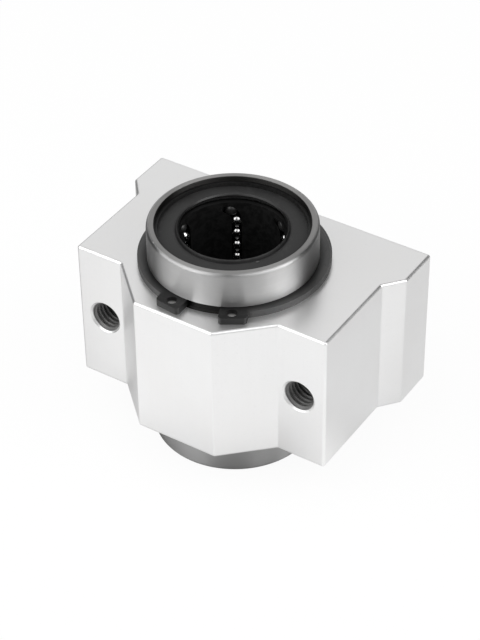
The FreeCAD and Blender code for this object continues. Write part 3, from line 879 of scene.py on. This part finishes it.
@dataclass
class TappedHole:
    """The wall of one M8 hole: a helical thread that starts in a countersink."""

    x: float
    front: float = -15.0 * MM
    depth: float = 17.95 * MM
    pitch: float = 1.25 * MM
    root_radius: float = 3.985 * MM
    crest_radius: float = 3.33 * MM
    start: float = 0.36 * MM
    mouth_radius: float = 4.35 * MM
    start_turn: float = math.radians(200.0)
    steps_a_turn: int = 72
    flank_step: float = 0.08
    weld: float = 0.001 * MM
    crease: float = math.radians(25.0)

    def profile(self) -> list[tuple[float, float]]:
        """Gives one pitch of the thread's outline.

        Returns:
            Places along the pitch, from 0 to 1, each with its radius.
        """
        corners = [(0.0, self.crest_radius), (0.25, self.crest_radius),
                   (0.5625, self.root_radius), (0.6875, self.root_radius),
                   (1.0, self.crest_radius)]
        points = []
        for (begin, near), (end, far) in zip(corners, corners[1:]):
            parts = max(1, round((end - begin) / self.flank_step))
            points += [(begin + (end - begin) * part / parts, near + (far - near) * part / parts)
                       for part in range(parts)]
        return points

    def wall(self) -> bmesh.types.BMesh:
        """Turns the outline down the hole and cuts it to its length.

        Returns:
            The wall, open at both ends and facing the hole's axis.
        """
        mesh = bmesh.new()
        turns = math.ceil(self.depth / self.pitch) + 2
        low = self.front - self.pitch
        places = [(low + (turn + share) * self.pitch, radius)
                  for turn in range(turns) for share, radius in self.profile()]
        line = [mesh.verts.new((radius * math.cos(self.start_turn), place,
                                radius * math.sin(self.start_turn)))
                for place, radius in places]
        edges = [mesh.edges.new(pair) for pair in zip(line, line[1:])]
        bmesh.ops.spin(mesh, geom=[*line, *edges], cent=(0.0, 0.0, 0.0), axis=(0.0, 1.0, 0.0),
                       dvec=(0.0, self.pitch / self.steps_a_turn, 0.0), angle=2 * math.pi,
                       steps=self.steps_a_turn, use_duplicate=False)
        bmesh.ops.remove_doubles(mesh, verts=mesh.verts, dist=self.weld)
        for place, outward in ((self.front + self.start, -1.0), (self.front + self.depth, 1.0)):
            bmesh.ops.bisect_plane(mesh, geom=[*mesh.verts, *mesh.edges, *mesh.faces],
                                   plane_co=(0.0, place, 0.0), plane_no=(0.0, outward, 0.0),
                                   clear_outer=True)
        self._countersink(mesh)
        self._face_inwards(mesh)
        bmesh.ops.translate(mesh, vec=(self.x, 0.0, 0.0), verts=mesh.verts)
        return mesh

    def _countersink(self, mesh: bmesh.types.BMesh) -> None:
        """Opens the mouth to a cone that the thread runs out of.

        Args:
            mesh: the wall, about its own axis.
        """
        for corner in mesh.verts:
            across = Vector((corner.co.x, 0.0, corner.co.z))
            cone = self.mouth_radius - (corner.co.y - self.front)
            if across.length < cone:
                across = across.normalized() * cone
                corner.co.x, corner.co.z = across.x, across.z

    def _face_inwards(self, mesh: bmesh.types.BMesh) -> None:
        """Turns the faces to the hole's axis, smooth but for the thread's own creases.

        Args:
            mesh: the wall, about its own axis.
        """
        mesh.normal_update()
        for face in mesh.faces:
            middle = face.calc_center_median()
            face.smooth = True
            if face.normal.dot(Vector((middle.x, 0.0, middle.z))) > 0:
                face.normal_flip()
        for edge in mesh.edges:
            if len(edge.link_faces) == 2 and edge.calc_face_angle() > self.crease:
                edge.smooth = False


@dataclass
class Housing:
    """The extruded block with its tapped holes."""

    hole_offset: float = 27.0 * MM

    def build(self, shop: Workshop) -> None:
        """Dresses the block and cuts its threads.

        Args:
            shop: the frame and the effects.
        """
        shop.dress(["housing_block"], AnodisedAluminium("Anodised extrusion", 0.9, 0.5))
        for name, side in (("left_thread", -1), ("right_thread", 1)):
            hole = TappedHole(x=side * self.hole_offset)
            shop.hand_over(hole.wall(), name, TappedAluminium("Tapped " + name, 0.2, 0.4))


@dataclass
class BallBushing:
    """The bushing: its sleeve, cage, six ball circuits, seals and the seals' snap rings."""

    circuits: int = 6
    mark_turn: float = math.radians(-33.5)
    mark_radius: float = 13.9 * MM
    mark_size: float = 0.32 * MM
    mark_shape: tuple[float, float, float] = (1.5, 0.8, 0.55)
    mark_depth: float = 0.72 * MM
    ripple: float = 0.03 * MM
    ripple_length: float = 0.09 * MM

    def build(self, shop: Workshop) -> None:
        """Dresses the bushing and adds the seals' gate marks.

        Args:
            shop: the frame and the effects.
        """
        shop.dress(["bearing_sleeve"], GroundSteel("Ground bearing steel", 1.0, 0.5))
        shop.dress(["ball_cage"], MouldedPart("Moulded cage", 0.0, 0.06, dark=0.006, light=0.007,
                                              roughness=0.5, highlight_radius=12.7 * MM,
                                              highlight_tone=0.028, shade_radius=12.0 * MM))
        shop.dress(["upper_seal", "lower_seal"],
                   MouldedPart("Nitrile seal", 0.0, 0.4, dark=0.022, light=0.031,
                               highlight_radius=12.95 * MM, highlight_tone=0.06))
        shop.dress(["upper_snap_ring", "lower_snap_ring"],
                   BlackOxide("Oxidised snap ring", 0.6, 0.5, level=0.02, roughness=0.5,
                              corner=10.0 * MM, rims=(17.4 * MM,)))
        numbers = range(1, self.circuits + 1)
        shop.dress([f"loaded_balls_{number}" for number in numbers],
                   PolishedBall("Polished balls", 1.0, 0.5))
        # Painted shade: the return balls are painted dark and dull, for the shade they lie in
        # inside the cage.
        shop.dress([f"return_balls_{number}" for number in numbers],
                   PolishedBall("Return balls in painted shade", 0.7, 0.4, dark=0.05, light=0.08,
                                roughness=0.34))
        for name, side, seal in (("upper_gate_mark", 1, "upper_seal"),
                                 ("lower_gate_mark", -1, "lower_seal")):
            shop.hand_over(self.gate_mark(side, seal), name,
                           MouldedPart("Gate stub " + name, 0.0, 0.4, dark=0.06, light=0.08))

    def gate_mark(self, side: int, seal: str) -> bmesh.types.BMesh:
        """Shapes the small torn stub where the rubber entered the mould.

        Args:
            side: 1 for the upper seal and -1 for the lower.
            seal: the seal's node name.

        Returns:
            The stub in its place.
        """
        low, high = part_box(seal)
        level = (high.z if side > 0 else -low.z) - self.mark_depth
        mesh = bmesh.new()
        bmesh.ops.create_uvsphere(mesh, u_segments=20, v_segments=12, radius=self.mark_size)
        bmesh.ops.scale(mesh, vec=self.mark_shape, verts=mesh.verts)
        turn = Matrix.Rotation(self.mark_turn + math.pi / 2, 4, "Z")
        place = Matrix.Translation((self.mark_radius * math.cos(self.mark_turn),
                                    self.mark_radius * math.sin(self.mark_turn), side * level))
        bmesh.ops.transform(mesh, matrix=place @ turn, verts=mesh.verts)
        for corner in mesh.verts:
            corner.co.z += self.ripple * math.sin(corner.co.x / self.ripple_length)
        for face in mesh.faces:
            face.smooth = True
        return mesh


@dataclass
class RetainingRings:
    """The two external rings that hold the bushing in the block."""

    outer: float = 22.6 * MM
    hole_circle: float = 22.0 * MM
    hole_spread: float = math.radians(19.1)
    upper_gap: float = math.radians(283.0)
    lower_gap: float = math.radians(33.0)

    def holes(self, gap: float) -> tuple[Vector, ...]:
        """Places the two pliers holes beside a ring's gap.

        Args:
            gap: the direction of the gap's middle.

        Returns:
            The holes' centres, in the ring's plane.
        """
        return tuple(Vector((math.cos(turn), math.sin(turn), 0.0)) * self.hole_circle
                     for turn in (gap - self.hole_spread, gap + self.hole_spread))

    def build(self, shop: Workshop) -> None:
        """Dresses both rings.

        Args:
            shop: the frame and the effects.
        """
        for side, gap in (("upper", self.upper_gap), ("lower", self.lower_gap)):
            shop.dress([side + "_retaining_ring"],
                       BlackOxide("Oxidised " + side + " ring", 0.5, 0.5, level=0.066,
                                  rims=(self.outer,), holes=self.holes(gap)))


# --------------------------------------------------------------------- studio


@dataclass(frozen=True)
class Softbox:
    """One large soft lamp, aimed at the part."""

    name: str
    azimuth: float
    elevation: float
    distance: float
    width: float
    height: float
    power: float

    def place(self, aim: Vector) -> None:
        """Puts the lamp in the scene.

        Args:
            aim: the point that it faces.
        """
        turn, lift = math.radians(self.azimuth), math.radians(self.elevation)
        away = Vector((math.cos(turn) * math.cos(lift), math.sin(turn) * math.cos(lift),
                       math.sin(lift)))
        light = bpy.data.lights.new(self.name, "AREA")
        light.shape = "RECTANGLE"
        light.size, light.size_y = self.width, self.height
        light.energy = self.power
        lamp = bpy.data.objects.new(self.name, light)
        lamp.location = aim + away * self.distance
        lamp.rotation_euler = away.to_track_quat("Z", "Y").to_euler()
        bpy.context.scene.collection.objects.link(lamp)


@dataclass(frozen=True)
class Card:
    """One card that metal sees, in degrees: full near its middle, gone past its fade."""

    azimuth: float
    full: float
    fade: float
    low: float = 1.0
    high: float = 1.0

    def share(self, bench: Bench, turn: object) -> bpy.types.NodeSocket:
        """Tells how far a direction lies in the card.

        Args:
            bench: where the nodes go.
            turn: the direction's azimuth, in radians.

        Returns:
            The share's socket, 1 in the card's middle and 0 past its sides.
        """
        facing = bench.math("COSINE", bench.math("SUBTRACT", turn, math.radians(self.azimuth)))
        return bench.ramp(bench.math("ARCCOSINE", facing), 1.0, 0.0, math.radians(self.full),
                          math.radians(self.fade), smooth=True)


@dataclass
class Studio:
    """The floor, the surrounding light, the lamps and the camera."""

    yaw: float = 0.58058
    pitch: float = 0.67995
    roll: float = -0.01389
    distance: float = 508.305 * MM
    slide: tuple[float, float] = (1.33669 * MM, 0.48897 * MM)
    lens: float = 80.227
    sensor: float = 24.0
    diffuse_level: float = 0.5
    floor_size: float = 1.6
    floor_share: float = 0.93
    cards: tuple[Card, ...] = (
        Card(azimuth=-104.0, full=8.0, fade=50.0, low=1.2, high=0.08),
        Card(azimuth=-58.0, full=10.0, fade=35.0, low=0.33, high=0.12),
        Card(azimuth=-5.0, full=10.0, fade=52.0, low=1.25, high=1.0),
        Card(azimuth=124.0, full=8.0, fade=49.0, low=0.72, high=0.87),
    )
    card_heights: tuple[float, float] = (math.radians(8.0), math.radians(50.0))
    gap_tone: float = 0.03
    overhead_tone: float = 0.45
    overhead_heights: tuple[float, float] = (math.radians(55.0), math.radians(80.0))
    floor_cards: tuple[Card, ...] = (
        Card(azimuth=-70.0, full=60.0, fade=120.0),
        Card(azimuth=45.0, full=20.0, fade=75.0, low=0.72),
    )
    floor_back: float = 0.3
    floor_painted_shadow: float = 0.08
    floor_reach: tuple[float, float] = (16.0 * MM, 44.0 * MM)
    floor_ends: tuple[float, float] = (150.0 * MM, 420.0 * MM)
    lamps: tuple[Softbox, ...] = (
        Softbox("key_softbox", -128.0, 42.0, 0.75, 0.9, 0.9, 4.1),
        Softbox("side_softbox", 13.0, 34.0, 0.8, 0.42, 0.8, 2.0),
        Softbox("front_softbox", -29.0, 50.0, 0.8, 0.5, 0.5, 0.8),
    )

    def build(self, low: Vector, high: Vector) -> None:
        """Sets up everything round the part.

        Args:
            low: the part's lowest corner.
            high: the part's highest corner.
        """
        self._camera()
        self._floor(low.z)
        self._world()
        for lamp in self.lamps:
            lamp.place((low + high) / 2)
            LOG.info("placed %s", lamp.name)
        bpy.context.scene.view_settings.view_transform = "Standard"

    def _camera(self) -> None:
        """Places the camera at the product view's angle."""
        back = Vector((math.sin(self.yaw) * math.cos(self.pitch),
                       -math.cos(self.yaw) * math.cos(self.pitch), math.sin(self.pitch)))
        level = Vector((math.cos(self.yaw), math.sin(self.yaw), 0.0))
        upright = back.cross(level)
        right = math.cos(self.roll) * level + math.sin(self.roll) * upright
        top = math.cos(self.roll) * upright - math.sin(self.roll) * level
        data = bpy.data.cameras.new("product_camera")
        data.sensor_fit = "VERTICAL"
        data.sensor_height = self.sensor
        data.lens = self.lens
        data.clip_start = 0.01
        camera = bpy.data.objects.new("product_camera", data)
        frame = Matrix((right, top, back)).transposed().to_4x4()
        frame.translation = back * self.distance + right * self.slide[0] + top * self.slide[1]
        camera.matrix_world = frame
        bpy.context.scene.collection.objects.link(camera)
        bpy.context.scene.camera = camera

    def _floor(self, level: float) -> None:
        """Lays the pale floor under the part.

        Args:
            level: its height.
        """
        mesh = bmesh.new()
        bmesh.ops.create_grid(mesh, x_segments=8, y_segments=8, size=self.floor_size)
        bmesh.ops.translate(mesh, vec=(0.0, 0.0, level), verts=mesh.verts)
        data = bpy.data.meshes.new("studio_floor")
        mesh.to_mesh(data)
        mesh.free()
        data.materials.append(self._floor_finish())
        floor = bpy.data.objects.new("studio_floor", data)
        bpy.context.scene.collection.objects.link(floor)
        floor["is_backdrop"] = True

    def _floor_finish(self) -> bpy.types.Material:
        """Makes the floor's paint.

        The eye sees it white, with the part's soft shadow. Metal sees it paler or darker by
        direction, with a painted shadow under the part, and dark far away.

        Returns:
            The finished material.
        """
        material = bpy.data.materials.new("Studio floor")
        material.use_nodes = True
        bench = Bench(material.node_tree)
        place = bench.add("TexCoord").outputs["Object"]
        apart = bench.add("SeparateXYZ")
        bench.plug(apart.inputs[0], place)
        span = bench.add("VectorMath", operation="LENGTH")
        bench.plug(span.inputs[0], bench.stretched(place, (1.0, 1.0, 0.0)))
        away = bench.ramp(span.outputs["Value"], 0.0, 1.0, *self.floor_reach)
        turn = bench.math("ARCTAN2", apart.outputs[1], apart.outputs[0])
        tone = self.floor_back
        for card in self.floor_cards:
            seen = bench.math("MULTIPLY", card.share(bench, turn), card.low)
            tone = bench.math("MAXIMUM", tone, seen)
        # Painted shadow: what metal sees of the floor is dark under the part.
        tone = bench.blend(away, grey(self.floor_painted_shadow), tone)
        ends = bench.ramp(span.outputs["Value"], 0.0, 0.9, *self.floor_ends, smooth=True)
        tone = bench.blend(ends, tone, grey(0.0))
        path = bench.add("LightPath")
        mirrored = bench.math("MAXIMUM", path.outputs["Is Glossy Ray"],
                              path.outputs["Is Transmission Ray"])
        glow = bench.add("Emission")
        bench.plug(glow.inputs["Color"], bench.blend(mirrored, grey(1.0), tone))
        paint = bench.add("BsdfDiffuse")
        cloud = bench.noise(place, 14.0, 2.0)
        bench.plug(paint.inputs["Color"], bench.blend(cloud, grey(0.93), grey(0.96)))
        mix = bench.add("MixShader")
        share = bench.math("MULTIPLY", path.outputs["Is Camera Ray"], self.floor_share)
        bench.plug(mix.inputs[0], bench.math("MAXIMUM", share, mirrored))
        bench.plug(mix.inputs[1], paint.outputs[0])
        bench.plug(mix.inputs[2], glow.outputs[0])
        bench.plug(bench.add("OutputMaterial").inputs["Surface"], mix.outputs[0])
        return material

    def _world(self) -> None:
        """Surrounds the part.

        The eye sees white. Metal sees cards with darker gaps between them, by the direction
        that it faces, and matt surfaces see one even level.
        """
        world = bpy.data.worlds.new("studio")
        world.use_nodes = True
        bpy.context.scene.world = world
        bench = Bench(world.node_tree)
        apart = bench.add("SeparateXYZ")
        bench.plug(apart.inputs[0], bench.add("TexCoord").outputs["Generated"])
        height = bench.math("ARCSINE", apart.outputs[2])
        turn = bench.math("ARCTAN2", apart.outputs[1], apart.outputs[0])
        cards = self.gap_tone
        for card in self.cards:
            level = bench.ramp(height, card.low, card.high, *self.card_heights)
            seen = bench.math("MULTIPLY", card.share(bench, turn), level)
            cards = bench.math("MAXIMUM", cards, seen)
        rise = bench.ramp(height, 0.0, 1.0, *self.overhead_heights)
        cards = bench.blend(rise, cards, grey(self.overhead_tone))
        path = bench.add("LightPath")
        mirror = bench.math("MAXIMUM", path.outputs["Is Glossy Ray"],
                            path.outputs["Is Transmission Ray"])
        tone = bench.blend(mirror, grey(self.diffuse_level), cards)
        tone = bench.blend(path.outputs["Is Camera Ray"], tone, grey(1.0))
        sky = bench.add("Background")
        bench.plug(sky.inputs["Color"], tone)
        bench.plug(bench.add("OutputWorld").inputs["Surface"], sky.outputs[0])


def main() -> None:
    """Dresses the part, piece by piece, and sets up the studio."""
    logging.basicConfig(level=logging.INFO, format="%(name)s: %(message)s")
    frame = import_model()
    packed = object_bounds()
    shop = Workshop(frame)
    for assembly in (Housing(), BallBushing(), RetainingRings()):
        LOG.info("building %s", type(assembly).__name__)
        assembly.build(shop)
    Studio().build(*packed)
    LOG.info("sizes written")


if __name__ == "__main__":
    main()
